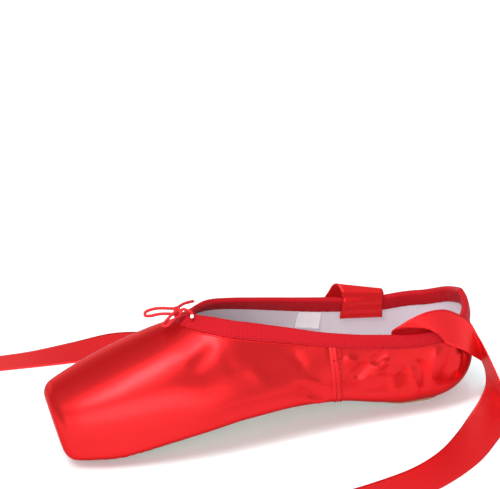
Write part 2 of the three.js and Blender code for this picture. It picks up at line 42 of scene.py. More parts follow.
# The last, with the part's own sizes in millimetres
LENGTH = 230.0
TOE_OVERHANG = 2.6  # how far the leaning platform's upper edge stands ahead of station 0
TOE_X = -LENGTH / 2 + TOE_OVERHANG
HEEL_CENTRE = 197.0  # station of the upright axis that the heel is swept round
HEEL_SWEEP = 46.0  # length along the heel's outline from that station to the very back
HEEL_END = HEEL_CENTRE + HEEL_SWEEP
PLATFORM_LEAN = math.tan(math.radians(11))
PLATFORM_LEAN_ENDS = 62.0
PLATFORM_MIDDLE = 19.0  # height about which the platform leans
TOE_ROUND = 5.0  # radius of the platform's soft rim
TOE_BLOCK = 9.0  # thickness of the stiffened toe behind the platform
BLOCK_ROUND = 4.0
THROAT = 76.0  # station where the collar's opening begins, on the centre line
SOLE_OPENING = 24.0  # station where the opening underneath begins
SOLE_THICK = 1.7
FIT_GAP = 0.3  # clear space between curved pieces that meet
GROUND = SOLE_THICK + FIT_GAP
INSOLE_THICK = 1.6
BINDING_THICK = 0.8
BINDING_INSIDE = 6.6  # depth of the binding's leaf on the lining
SEAM_STATION = 144.0
SEAM_WIDTH = 4.6
SEAM_RAISE = 0.5
SEAM_ROWS = (-1.5, 1.5)  # the two rows of stitches, from the seam's middle
SOLE_FRONT = 15.0
INSOLE_FRONT = 34.0
OPENING_INSIDE_SOLE = 4.5  # margin of the upper that the sole covers
OPENING_ROUND = 22  # how round the front of that opening is

# A row for each section. at: station, or past HEEL_CENTRE the length along the heel's outline.
# half: half width at the widest. low: underside. wide: height of the widest place. crown: top.
# squareLow, squareTop: how boxy the corners are.
SECTION_COLUMNS = ("at", "half", "low", "wide", "crown", "squareLow", "squareTop")
SECTIONS = [
    (0, 22, GROUND + 0.4, 14, 36, 3.2, 2.4),
    (6, 25, GROUND + 0.1, 14.5, 39.2, 3.4, 2.35),
    (14, 28.5, GROUND, 15.5, 43, 3.6, 2.3),
    (27, 32.4, GROUND, 17.7, 48.6, 3.75, 2.22),
    (38, 34.8, GROUND + 2, 19.6, 52.8, 3.85, 2.18),
    (56, 37.5, GROUND + 6, 23, 58.8, 4, 2),
    (76, 39, GROUND + 10, 26.5, 65.2, 4.2, 1.6),
    (95, 38, GROUND + 12.6, 29, 75.2, 4.2, 1.42),
    (118, 35.5, GROUND + 13.5, 29.5, 76.6, 4, 1.48),
    (144, 33, GROUND + 11.4, 28, 77.4, 3.8, 1.8),
    (168, 32, GROUND + 5, 26.5, 79, 3.4, 2),
    (186, 31.5, GROUND + 0.3, 26, 83, 2.8, 2),
    (197, 31.5, GROUND, 26, 85, 2.6, 2),
    (243, 30.4, GROUND, 27, 88, 2.2, 2),
]
# Station and height of the collar's edge
COLLAR = [
    (76, 65.2),
    (84, 65.6),
    (98, 63.4),
    (118, 58.9),
    (140, 53.6),
    (165, 49),
    (190, 46),
    (210, 46.8),
    (228, 51.6),
    (243, 55),
]
# Station and depth of the binding's leaf on the satin
BINDING_OUTSIDE = [(76, 8.4), (100, 8.6), (140, 6.4), (243, 6.4)]
# Station and thickness of the wall: a stiff box in front, cloth and lining behind
WALL = [(0, 3), (50, 2.8), (76, 1.8), (100, 1.5), (243, 1.5)]
# Station and half width of the outsole and the insole
OUTSOLE = [
    (15, 12.5),
    (24, 16.5),
    (45, 21),
    (68, 23),
    (90, 20.5),
    (120, 14.5),
    (148, 11.5),
    (175, 12),
    (197, 12.5),
    (243, 13),
]
INSOLE = [
    (34, 20),
    (55, 26),
    (75, 27.5),
    (95, 25),
    (120, 21.5),
    (150, 19.5),
    (180, 20),
    (197, 19.6),
    (220, 17.6),
    (243, 16),
]


class Curve:
    """A smooth curve through a table's column, level between equal rows, with no overshoot."""

    def __init__(self, rows, column=1):
        self.x = np.array([r[0] for r in rows], float)
        self.y = np.array([r[column] for r in rows], float)
        s = np.diff(self.y) / np.diff(self.x)
        t = np.zeros(len(self.x))
        t[0], t[-1] = s[0], s[-1]
        for i in range(1, len(s)):
            t[i] = 0 if s[i - 1] * s[i] <= 0 else 2 * s[i - 1] * s[i] / (s[i - 1] + s[i])
        self.t = t

    def __call__(self, at):
        at = np.clip(np.asarray(at, float), self.x[0], self.x[-1])
        i = np.clip(np.searchsorted(self.x, at, side="right") - 1, 0, len(self.x) - 2)
        span = self.x[i + 1] - self.x[i]
        u = (at - self.x[i]) / span
        return (
            self.y[i] * (1 + 2 * u) * (1 - u) ** 2
            + self.y[i + 1] * u * u * (3 - 2 * u)
            + span * u * (1 - u) * (self.t[i] * (1 - u) - self.t[i + 1] * u)
        )


SECTION = {name: Curve(SECTIONS, i) for i, name in enumerate(SECTION_COLUMNS) if i}
collar_height = Curve(COLLAR)
wall = Curve(WALL)
outsole_half = Curve(OUTSOLE)
insole_half = Curve(INSOLE)
binding_outside = Curve(BINDING_OUTSIDE)


def together(*values):
    return np.broadcast_arrays(*(np.asarray(v, float) for v in values))


def placed(at, out, height):
    """The point of the near side at a station, so far out from the middle and so high."""
    at, out, height = together(at, out, height)
    turn = np.where(at <= HEEL_CENTRE, 0, (at - HEEL_CENTRE) / HEEL_SWEEP * math.pi / 2)
    fade = np.clip(1 - np.clip(at, 0, None) / PLATFORM_LEAN_ENDS, 0, None)
    lean = PLATFORM_LEAN * fade**2 * (PLATFORM_MIDDLE - height)
    x = TOE_X + np.minimum(at, HEEL_CENTRE) + out * np.sin(turn) + lean
    return np.stack([x, -out * np.cos(turn), height], -1)


def last_point(at, around, inset):
    """A point of the last. around: 0 underneath, 0.5 at the widest, 1 on top. inset: inside the satin."""
    at, around, inset = together(at, around, inset)
    row = {k: c(at) for k, c in SECTION.items()}
    half, crown = row["half"] - inset, row["crown"] - inset
    low, wide = row["low"] + inset, row["wide"]
    a = around * math.pi
    under = around < 0.5
    p, q = 2 / row["squareLow"], 2 / row["squareTop"]
    s, c = np.clip(np.sin(a), 0, None), np.cos(a)
    out_low, high_low = half * s**p, wide - (wide - low) * np.clip(c, 0, None) ** p
    b = a - math.pi / 2
    cb = np.cos(b)
    out_top = half * np.sign(cb) * np.abs(cb) ** q
    high_top = wide + (crown - wide) * np.clip(np.sin(b), 0, None) ** q
    return placed(at, np.where(under, out_low, out_top), np.where(under, high_low, high_top))


def collar_round(at):
    """How far round the section the collar's edge lies."""
    at = np.asarray(at, float)
    w, c, q = SECTION["wide"](at), SECTION["crown"](at), SECTION["squareTop"](at)
    share = np.clip((collar_height(at) - w) / (c - w), 0, 1)
    return np.where(at <= THROAT, 1.0, 0.5 + np.arcsin(share ** (q / 2)) / math.pi)


def low_round(at, out, inset):
    """How far round the section the underside reaches that far out."""
    share = np.clip(out / (SECTION["half"](at) - inset), 0, 1)
    return np.arcsin(share ** (SECTION["squareLow"](at) / 2)) / math.pi


def opening_half(at):
    """Half width of the opening underneath, round at its front."""
    behind = np.clip(np.asarray(at, float) - SOLE_OPENING, 0, None)
    return np.minimum(np.sqrt(behind * OPENING_ROUND), outsole_half(at) - OPENING_INSIDE_SOLE) * (behind > 0)


def unit(v):
    return v / np.maximum(np.linalg.norm(v, axis=-1, keepdims=True), 1e-12)


def slopes(at, around):
    """The last's directions along the stations and round the section."""
    h, k = 0.2, 0.002
    along = (last_point(at + h, around, 0.0) - last_point(at - h, around, 0.0)) / (2 * h)
    across = (last_point(at, around + k, 0.0) - last_point(at, around - k, 0.0)) / (2 * k)
    return along, across


def collar_point(at, depth, outside=None, inside=None, off_edge=0.0):
    """A point near the near side's collar, so deep below its edge, outside the satin or inside the lining."""
    at = np.asarray(at, float)
    h = 0.15
    lo, hi = np.maximum(THROAT, at - h), np.minimum(HEEL_END, at + h)
    tangent = last_point(hi, collar_round(hi), 0) - last_point(lo, collar_round(lo), 0)
    tangent[at <= THROAT] = (0, -1, 0)
    tangent[at >= HEEL_END] = (0, 1, 0)
    tangent = unit(tangent)
    around = collar_round(at)
    along, across = slopes(at, around)
    normal = unit(np.cross(along, across))
    off = unit(np.cross(normal, tangent))
    at2, around2 = at.copy(), around.copy()
    for _ in range(4):
        along, across = slopes(at2, around2)
        a, b, c = (along * along).sum(-1), (along * across).sum(-1), (across * across).sum(-1)
        p, q = -depth / 4 * (off * along).sum(-1), -depth / 4 * (off * across).sum(-1)
        scale = a * c - b * b
        at2, around2 = at2 + (p * c - q * b) / scale, around2 + (a * q - b * p) / scale
    inset = wall(at2) + inside if outside is None else -np.asarray(outside, float)
    return last_point(at2, around2, inset) + off * np.asarray(off_edge, float)[..., None]


# Mesh helpers
def clean(o, merge):
    """The object's mesh with doubles merged, thin faces dropped and faces turned outwards."""
    bm = bmesh.new()
    bm.from_mesh(o.data)
    if merge:
        bmesh.ops.remove_doubles(bm, verts=bm.verts, dist=merge)
        bmesh.ops.dissolve_degenerate(bm, edges=bm.edges, dist=1e-7)
    bmesh.ops.recalc_face_normals(bm, faces=bm.faces)
    bm.to_mesh(o.data)
    bm.free()


def mesh(name, points, faces, mat, merge=1e-6):
    """A mesh from points in millimetres."""
    data = bpy.data.meshes.new(name)
    data.from_pydata((np.asarray(points, float) * MM).tolist(), [], [list(map(int, f)) for f in faces])
    o = bpy.data.objects.new(name, data)
    bpy.context.scene.collection.objects.link(o)
    data.materials.append(mat)
    clean(o, merge)
    for p in data.polygons:
        p.use_smooth = True
    return o


def grid_faces(rows, columns, flip=False, wrap=False):
    i = np.arange(rows - 1)[:, None]
    j = np.arange(columns if wrap else columns - 1)[None, :]
    n = (j + 1) % columns
    q = np.stack([i * columns + j, (i + 1) * columns + j, (i + 1) * columns + n, i * columns + n], -1)
    q = q.reshape(-1, 4)
    return q[:, ::-1] if flip else q


class Parts:
    """Several grids and solids gathered into one mesh."""

    def __init__(self):
        self.points, self.faces, self.count = [], [], 0

    def add(self, points, faces):
        points = np.asarray(points, float).reshape(-1, 3)
        self.faces += (np.asarray(faces) + self.count).tolist()
        self.points.append(points)
        self.count += len(points)

    def grid(self, g, flip=False, wrap=False):
        self.add(g, grid_faces(g.shape[0], g.shape[1], flip=flip, wrap=wrap))

    def make(self, name, mat, merge=1e-6):
        return mesh(name, np.concatenate(self.points), self.faces, mat, merge)


def mirror_y(p):
    return p * np.array([1, -1, 1])


def tube(path, radius, sides):
    """Rings round a path, closed by small domes."""
    path = np.asarray(path, float)
    t = unit(np.gradient(path, axis=0))
    up = np.array([0.0, 0, 1]) if abs(t[0][2]) < 0.9 else np.array([1.0, 0, 0])
    n = np.cross(t[0], up)
    radius = np.broadcast_to(np.asarray(radius, float), (len(path),))
    rings = []
    angle = np.arange(sides) / sides * 2 * math.pi
    for i, (p, d) in enumerate(zip(path, t)):
        n = n - d * n.dot(d)
        n /= np.linalg.norm(n)
        b = np.cross(d, n)
        rings.append(p + radius[i] * (np.cos(angle)[:, None] * n + np.sin(angle)[:, None] * b))
    pts = np.concatenate(rings)
    faces = grid_faces(len(path), sides, wrap=True).tolist()
    for end, sign in ((0, -1), (len(path) - 1, 1)):
        tip = path[end] + sign * t[end] * radius[end] * 0.6
        k = len(pts)
        pts = np.vstack([pts, tip])
        for j in range(sides):
            f = [end * sides + j, end * sides + (j + 1) % sides, k]
            faces.append(f if sign > 0 else f[::-1])
    quads = [f for f in faces if len(f) == 4]
    tris = [f for f in faces if len(f) == 3]
    return pts, quads, tris


def tubes(name, paths, radius, mat, sides):
    """Several tubes in one mesh."""
    points, faces, count = [], [], 0
    for path in paths:
        p, quads, tris = tube(path, radius, sides)
        points.append(p)
        faces += [[i + count for i in f] for f in quads + tris]
        count += len(p)
    return mesh(name, np.concatenate(points), faces, mat, merge=0)


def spline(points, count):
    """Points evenly spaced on a centripetal Catmull-Rom curve through the given ones."""
    p = np.asarray(points, float)
    ends = (2 * p[0] - p[1], 2 * p[-1] - p[-2])
    p = np.vstack([ends[0], p, ends[1]])
    out = []
    for i in range(1, len(p) - 2):
        p0, p1, p2, p3 = p[i - 1 : i + 3]
        t0 = 0.0
        t1 = t0 + max(np.linalg.norm(p1 - p0), 1e-6) ** 0.5
        t2 = t1 + max(np.linalg.norm(p2 - p1), 1e-6) ** 0.5
        t3 = t2 + max(np.linalg.norm(p3 - p2), 1e-6) ** 0.5
        t = np.linspace(t1, t2, 24, endpoint=False)[:, None]
        a1 = (t1 - t) / (t1 - t0) * p0 + (t - t0) / (t1 - t0) * p1
        a2 = (t2 - t) / (t2 - t1) * p1 + (t - t1) / (t2 - t1) * p2
        a3 = (t3 - t) / (t3 - t2) * p2 + (t - t2) / (t3 - t2) * p3
        b1 = (t2 - t) / (t2 - t0) * a1 + (t - t0) / (t2 - t0) * a2
        b2 = (t3 - t) / (t3 - t1) * a2 + (t - t1) / (t3 - t1) * a3
        out.append((t2 - t) / (t2 - t1) * b1 + (t - t1) / (t2 - t1) * b2)
    out = np.vstack([*out, p[-2]])
    s = run_of(out)
    want = np.linspace(0, s[-1], count)
    return np.stack([np.interp(want, s, out[:, k]) for k in range(out.shape[1])], -1)


def run_of(points):
    """The length along a line of points, up to each of them."""
    return np.concatenate([[0], np.cumsum(np.linalg.norm(np.diff(points, axis=0), axis=1))])


def length_of(points):
    return float(np.linalg.norm(np.diff(np.asarray(points), axis=0), axis=1).sum())


def stitches(line, length, gap):
    """Short pieces of thread along a line of points."""
    count = max(1, int(length_of(line) // (length + gap)))
    even = spline(line, count * 20 + 1)
    share = length / (length + gap)
    pieces = []
    for i in range(count):
        first = i * 20
        pieces.append(even[first : first + int(20 * share) + 1 : 4])
    return pieces


# Materials
def vary_colour(nodes, links, place, shader, colour, other, scale, amount):
    """Slow drifts of a second colour through the first."""
    noise = nodes.new("ShaderNodeTexNoise")
    noise.inputs["Scale"].default_value = scale
    noise.inputs["Detail"].default_value = 3
    mix = nodes.new("ShaderNodeMix")
    mix.data_type = "RGBA"
    ramp = nodes.new("ShaderNodeMapRange")
    ramp.inputs["From Min"].default_value = 0.5 - 0.5 / amount
    ramp.inputs["From Max"].default_value = 0.5 + 0.5 / amount
    links.new(place.outputs["Object"], noise.inputs["Vector"])
    links.new(noise.outputs["Fac"], ramp.inputs["Value"])
    links.new(ramp.outputs["Result"], mix.inputs["Factor"])
    mix.inputs["A"].default_value = (*colour, 1)
    mix.inputs["B"].default_value = (*other, 1)
    links.new(mix.outputs["Result"], shader.inputs["Base Color"])


def fine_noise(nodes, links, place, scale):
    noise = nodes.new("ShaderNodeTexNoise")
    noise.inputs["Scale"].default_value = scale
    noise.inputs["Detail"].default_value = 4
    links.new(place.outputs["Object"], noise.inputs["Vector"])
    return noise.outputs["Fac"]


def weave(nodes, links, place, scale):
    """Ribs along X and along Z, added."""
    one, two = nodes.new("ShaderNodeTexWave"), nodes.new("ShaderNodeTexWave")
    one.bands_direction, two.bands_direction = "X", "Z"
    for wave in (one, two):
        wave.inputs["Scale"].default_value = scale
        wave.inputs["Distortion"].default_value = 0.6
        wave.inputs["Detail"].default_value = 1
        links.new(place.outputs["Object"], wave.inputs["Vector"])
    add = nodes.new("ShaderNodeMath")
    add.operation = "ADD"
    links.new(one.outputs["Fac"], add.inputs[0])
    links.new(two.outputs["Fac"], add.inputs[1])
    return add.outputs[0]


def material(name, colour, rough, bump=None, metal=0.0, vary=None, spec=0.5, spec_tint=None):
    """bump: pattern, scale, strength and distance. vary: second colour, scale and contrast."""
    m = bpy.data.materials.new(name)
    m.use_nodes = True
    nodes, links = m.node_tree.nodes, m.node_tree.links
    shader = next(n for n in nodes if n.type == "BSDF_PRINCIPLED")
    shader.inputs["Base Color"].default_value = (*colour, 1)
    shader.inputs["Roughness"].default_value = rough
    shader.inputs["Specular IOR Level"].default_value = spec
    shader.inputs["Metallic"].default_value = metal
    if spec_tint:
        shader.inputs["Specular Tint"].default_value = (*spec_tint, 1)
    place = nodes.new("ShaderNodeTexCoord")
    if vary:
        vary_colour(nodes, links, place, shader, colour, *vary)
    if bump:
        pattern, scale, strength, distance = bump
        height = pattern(nodes, links, place, scale)
        relief = nodes.new("ShaderNodeBump")
        relief.inputs["Strength"].default_value = strength
        relief.inputs["Distance"].default_value = distance
        links.new(height, relief.inputs["Height"])
        links.new(relief.outputs["Normal"], shader.inputs["Normal"])
    return m


SATIN = material(
    "satin",
    (0.66, 0.021, 0.023),
    0.31,
    bump=(fine_noise, 900, 0.1, 0.0004),
    metal=0.82,
    spec=0.3,
    spec_tint=(0.6, 0.1, 0.12),
    vary=((0.6, 0.017, 0.02), 35, 1.5),
)
RIBBON = material(
    "ribbon_satin",
    (0.76, 0.02, 0.024),
    0.34,
    bump=(fine_noise, 900, 0.08, 0.0003),
    metal=0.6,
    spec=0.45,
    spec_tint=(1, 0.3, 0.3),
)
COTTON = material(
    "binding_cotton",
    (0.44, 0.006, 0.012),
    0.6,
    bump=(weave, 420, 0.35, 0.0004),
    metal=0.1,
    spec=0.25,
    spec_tint=(1, 0.35, 0.4),
)
CORD = material(
    "drawstring_cord",
    (0.55, 0.014, 0.02),
    0.6,
    bump=(fine_noise, 1200, 0.4, 0.0003),
    metal=0.1,
    spec_tint=(1, 0.5, 0.5),
)
TIP = material("cord_tip", (0.85, 0.8, 0.8), 0.7)
LINING = material(
    "lining",
    (0.78, 0.72, 0.78),
    0.85,
    bump=(weave, 500, 0.25, 0.0003),
    vary=((0.68, 0.61, 0.68), 30, 1.3),
)
BOARD = material(
    "insole_board",
    (0.78, 0.74, 0.71),
    0.85,
    bump=(fine_noise, 500, 0.25, 0.0003),
    vary=((0.7, 0.66, 0.63), 25, 1.4),
)
LEATHER = material(
    "sole_leather",
    (0.5, 0.33, 0.2),
    0.72,
    bump=(fine_noise, 260, 0.35, 0.0005),
    vary=((0.42, 0.27, 0.16), 60, 1.6),
)
TAG = material("tag_cloth", (0.92, 0.9, 0.93), 0.85, bump=(weave, 600, 0.25, 0.0002))
THREAD = material("satin_thread", (0.3, 0.003, 0.01), 0.5, spec_tint=(1, 0.4, 0.4))
FLOOR = material("floor", (0.84, 0.9, 0.9), 0.95, spec=0.1)
# The floor glows faintly cyan. This is painted light, not a lamp: it lifts and cools the shade under the shoe
# and lights the shoe's underside.
painted_floor_glow = next(n for n in FLOOR.node_tree.nodes if n.type == "BSDF_PRINCIPLED")
painted_floor_glow.inputs["Emission Color"].default_value = (0.68, 0.97, 1, 1)
painted_floor_glow.inputs["Emission Strength"].default_value = 0.2

# The camera, fitted to the photograph
CAMERA_AZIMUTH = math.radians(-13.5)
CAMERA_ELEVATION = math.radians(19.5)
CAMERA_ROLL = math.radians(3.92)
CAMERA_FAR = 900.0
CAMERA_TARGET = Vector((-2.26, 0, 98.34))
SENSOR = 36
IMAGE_WIDTH = 500
FOCAL_PIXELS = 1757.7


def place_camera():
    az, el, roll = CAMERA_AZIMUTH, CAMERA_ELEVATION, CAMERA_ROLL
    back = Vector((math.sin(az) * math.cos(el), -math.cos(az) * math.cos(el), math.sin(el)))
    level = Vector((math.cos(az), math.sin(az), 0))
    steep = back.cross(level)
    right = level * math.cos(roll) - steep * math.sin(roll)
    up = level * math.sin(roll) + steep * math.cos(roll)
    camera = bpy.data.objects.new("camera", bpy.data.cameras.new("camera"))
    bpy.context.scene.collection.objects.link(camera)
    camera.data.sensor_width = SENSOR
    camera.data.lens = FOCAL_PIXELS / IMAGE_WIDTH * SENSOR
    camera.data.clip_start, camera.data.clip_end = 0.05, 20
    place = Matrix.Translation((CAMERA_TARGET + back * CAMERA_FAR) * MM)
    camera.matrix_world = place @ Matrix((right, up, back)).transposed().to_4x4()
    bpy.context.scene.camera = camera


place_camera()


# The satin
def rim_inset(at, radius):
    """How far a rounded rim draws the outline in."""
    left = np.clip(radius - at, 0, None)
    return radius - np.sqrt(np.clip(radius**2 - left**2, 0, None))


def crease(points, line, width, depth):
    """A soft trough (depth below 0) or ridge along a line of points, as heights over points."""
    line = spline(line, 24)
    d = np.full(len(points), 1e9)
    fade = np.ones(len(points))
    for i in range(len(line) - 1):
        p, q = line[i], line[i + 1]
        v = q - p
        t = np.clip(((points - p) @ v) / (v @ v), 0, 1)
        dist = np.linalg.norm(points - (p + t[:, None] * v), axis=1)
        share = (i + t) / (len(line) - 1)
        closer = dist < d
        d = np.where(closer, dist, d)
        fade = np.where(closer, np.clip(np.minimum(share, 1 - share) * 4, 0.15, 1), fade)
    return depth * fade * np.exp(-((d / width) ** 2))


# The near side's creases and folds: points, width, and height above the satin, or below it
NEAR_CREASES = [
    ([[69.8, -31.4, 31.6], [72.7, -31.4, 24.5], [74.3, -30.9, 18.4], [74.2, -29.2, 12.6]], 1.3, 1.3),
    ([[65.8, -31.6, 29.4], [67.8, -31.2, 22.1], [69.2, -30.2, 14.4]], 3.0, -1.5),
    ([[60.6, -31.4, 33], [61.6, -31.6, 25], [62.6, -30.6, 15]], 2.6, 0.7),
    ([[73.4, -31.3, 33.5], [77, -31.5, 28.7], [78.2, -31.3, 22.3], [78.4, -30.4, 16]], 2.0, -1.4),
    ([[88, -30.4, 39.6], [85, -30.9, 32], [82.6, -31, 23.6], [81.8, -29.6, 15.2]], 3.4, 1.3),
    ([[95.2, -29.4, 37], [94.2, -30.1, 29.4], [90, -30.6, 22], [87.2, -29.4, 14.0]], 2.4, -1.8),
    ([[99.4, -28, 35], [99, -28, 28], [95.4, -29, 20]], 2.4, 1.0),
    ([[57.6, -30.8, 41.4], [53.6, -31.4, 37.8], [48.8, -31.6, 36.4]], 2.2, -1.3),
    ([[60, -31, 37], [54, -31.5, 33.6], [48.6, -31.8, 32.6]], 2.4, 1.0),
    ([[47.4, -31.8, 37], [43.6, -32.1, 33.2], [39.2, -32.3, 29.4]], 2.6, -1.4),
    ([[35.6, -31.0, 41.4], [39.9, -31.5, 38.8], [43, -31.9, 36.8]], 2.0, 0.8),
    ([[41, -32.2, 28], [50, -32, 28.6], [57.2, -31.6, 30.4]], 2.6, 0.9),
    ([[62.3, -31.8, 22.5], [54.0, -32.0, 21.8], [44.1, -32.3, 22.4]], 3.0, -1.0),
    ([[9.0, -35.2, 31.6], [15, -34.6, 28.6], [20.0, -33.7, 25.2], [26.3, -32.9, 21.4]], 2.6, -1.8),
    ([[11, -34.8, 33.4], [17, -34.4, 31], [24, -33.4, 27]], 2.4, 0.7),
    ([[12, -34.4, 24], [19, -33, 20.4], [25, -32, 17.8]], 2.0, 1.0),
    ([[-33.8, -17.4, 59], [-30.9, -20.7, 57.1], [-28, -23.6, 55.2]], 2.2, -0.2),
    ([[-27.0, -22.4, 55.8], [-35.6, -25.3, 51.5], [-45.3, -30, 45]], 4.2, -0.5),
    ([[-31, -18.6, 57.8], [-39.4, -22.4, 53.6], [-50, -26, 49.4]], 4.0, 0.25),
    ([[-25.4, -25, 54], [-24.8, -29.4, 48.6], [-22.4, -33, 42.6]], 3.0, -0.25),
    ([[-15.8, -30.5, 47], [-11.4, -33.7, 40.8], [-6.8, -35.8, 34.5]], 3.6, 0.25),
    ([[7.8, -29.1, 48.3], [12.1, -31.4, 42.9], [14.5, -33.0, 37.7]], 2.6, -0.3),
    ([[97.0, -28.2, 36.6], [101.6, -26.0, 31.0], [102.9, -24.9, 24.6]], 2.2, -0.6),
    ([[-96.4, -29, 17], [-95.1, -29.3, 14.3], [-93.8, -29.4, 11.9]], 0.9, -0.5),
    ([[-83.6, -33, 20], [-82.7, -33.0, 17.5], [-81.5, -33.0, 14.5]], 0.8, -0.5),
    ([[-80.8, -33.6, 20], [-80.3, -33.5, 17.8], [-79.5, -33.5, 14.9]], 0.8, -0.5),
    ([[-104.6, -25.4, 14], [-103.4, -25.5, 11.3], [-101.6, -25.0, 7.4]], 0.9, -0.5),
]
# The hidden side's, placed like the near side's but not the same
FAR_CREASES = [
    ([[36, 31, 41], [46, 31.6, 37.6], [58, 31.6, 35.4]], 2.8, 0.6),
    ([[40, 32.2, 33], [50, 32, 29.6], [60, 31.6, 28.4]], 3.6, -0.6),
    ([[66, 31.6, 33], [69.6, 31.4, 25], [70.6, 30, 15]], 2.0, -0.6),
    ([[72, 31.4, 34], [76, 31.2, 24], [76.6, 29.6, 14]], 2.6, 0.7),
    ([[92, 30, 34], [89, 30.6, 24], [84, 29, 14]], 2.8, -0.9),
    ([[99, 27.4, 36], [101.6, 26, 28], [100, 26, 20]], 2.4, -0.6),
    ([[14, 34.4, 29], [20, 33.6, 25.6], [27, 32.6, 21]], 2.6, -0.8),
    ([[-31, 22.6, 55.4], [-36, 25.6, 51.2], [-42, 28.8, 47]], 2.6, -0.6),
    ([[-22, 28, 50.4], [-22.6, 31, 46], [-21, 33.6, 41]], 2.6, 0.4),
    ([[-6, 34, 40.6], [-2, 35.4, 36]], 2.4, -0.3),
]
CREASES = NEAR_CREASES + FAR_CREASES
DEEPEST = 0.8  # deepest trough of a crease: with the satin's thickness it stays above a 1.5 mm wall's lining
PLEAT_SPACING = 4.2
PLEAT_DEPTH = 0.9
TOE_CURVE = 7  # length of the outsole's rounded front


def pleats(points):
    """Folds of the satin drawn under the toe, running out from the sole's front edge."""
    at = np.concatenate([SOLE_FRONT + TOE_CURVE * np.linspace(0, 1, 12) ** 2, np.linspace(23, 62, 40)])
    rounded = np.minimum(1, np.sqrt(np.clip((at - SOLE_FRONT) / TOE_CURVE, 0, 1)))
    edge = placed(at, outsole_half(at) * rounded, 0)
    run = run_of(edge[:, :2])
    low = points[:, 2] < 26
    h = np.zeros(len(points))
    p = points[low]
    offset = np.stack([p[:, 0], -np.abs(p[:, 1])], 1)[:, None] - edge[None, :, :2]
    d = np.linalg.norm(offset, axis=2)
    k = d.argmin(1)
    along = run[k] * np.sign(p[:, 1] + 1e-9)
    fold = (0.5 + 0.5 * np.cos(along * 2 * math.pi / PLEAT_SPACING + 1.1 * np.sin(along * 0.37))) ** 3
    fade = np.exp(-((d.min(1) / 9) ** 2)) * np.clip((run[-1] - run[k]) / 14, 0, 1)
    fade = fade * np.clip((24 - p[:, 2]) / 10, 0, 1)
    h[low] = -PLEAT_DEPTH * fold * fade
    return h


def satin_height(at, around, points, side):
    """How far the satin stands out from the last."""
    h = np.zeros(len(points))
    on_seam = np.abs(at - SEAM_STATION)
    plateau = SEAM_RAISE * np.clip((SEAM_WIDTH / 2 + 0.5 - on_seam) / 0.8, 0, 1)
    for row in SEAM_ROWS:
        plateau -= 0.3 * np.exp(-(((at - SEAM_STATION - row) / 0.5) ** 2))
    plateau -= 0.35 * np.exp(-(((at - SEAM_STATION + 3.2) / 0.6) ** 2))
    under = np.clip((around - 0.24) / 0.06, 0, 1)
    top = np.clip((collar_round(at) - around) / 0.05, 0, 1)
    h += plateau * under
    for line, width, depth in CREASES:
        if (line[0][1] > 0) == (side > 0):
            h += crease(points, line, width, depth)
    h = np.where(h < 0, -DEEPEST * np.tanh(-h / DEEPEST), h)
    h += pleats(points)
    return h * np.where(at >= THROAT, np.clip(0.2 + top, 0, 1), 1)


def satin_stations():
    """Stations along the satin, close together at the rim, the throat and the side seam."""
    quarter = np.linspace(0, 1, 9) * math.pi / 2
    return np.concatenate(
        [
            TOE_ROUND * (1 - np.cos(quarter)),
            np.arange(6.2, SOLE_OPENING, 1.3),
            SOLE_OPENING + np.array([0, 0.3, 1, 2.2, 3.8]),
            np.arange(29, THROAT - 1, 1.35),
            THROAT + np.array([0, 0.15, 0.5, 1.1, 2, 3.1, 4.4, 5.8, 7.2, 8.6]),
            np.arange(86, 140.5, 1.35),
            np.arange(140.6, 147.8, 0.45),
            np.arange(149, HEEL_CENTRE, 1.35),
            np.linspace(HEEL_CENTRE, HEEL_END, 40),
        ]
    )


def satin_half(side):
    """One half of the satin with its creases, closed by the flat of the platform."""
    at = satin_stations()
    low, high = 34, 46  # rows below and above the widest place
    inset = rim_inset(at, TOE_ROUND)
    start, end = low_round(at, opening_half(at), 0), collar_round(at)
    a0 = start[:, None] + (0.5 - start)[:, None] * np.linspace(0, 1, low + 1)
    a1 = 0.5 + (end - 0.5)[:, None] * np.linspace(0, 1, high + 1)[1:]
    around = np.concatenate([a0, a1], 1)
    at2 = np.broadcast_to(at[:, None], around.shape)
    pts = last_point(at2, around, inset[:, None])
    du = np.gradient(pts, axis=0)
    dv = np.gradient(pts, axis=1)
    n = unit(np.cross(du, dv))
    if side > 0:
        pts, n = mirror_y(pts), mirror_y(n)
    flat = pts.reshape(-1, 3)
    h = satin_height(at2.ravel(), around.ravel(), flat, side)
    out = (flat + n.reshape(-1, 3) * h[:, None]).reshape(pts.shape)
    out[..., 1] = np.where(np.abs(flat[:, 1].reshape(out.shape[:2])) < 1e-4, 0, out[..., 1])
    rim = out[0]
    centre = np.array([placed(0, 0, PLATFORM_MIDDLE)[0], 0, PLATFORM_MIDDLE])
    discs = [centre + (rim - centre) * s for s in (0.0, 0.2, 0.4, 0.6, 0.8, 0.93)]
    return np.concatenate([np.array(discs), out])


def thicken(o, thickness, offset):
    thick = o.modifiers.new("thick", "SOLIDIFY")
    thick.thickness, thick.offset = thickness * MM, offset


SATIN_THICK = 0.5
satin = Parts()
satin.grid(satin_half(-1))
satin.grid(satin_half(1), flip=True)
satin = satin.make("satin", SATIN, merge=2e-5)
thicken(satin, SATIN_THICK, -1)
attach(satin, "root")


# The lining
LINING_THICK = 0.4
LINING_SEAM = 115  # station of the seam across the lining


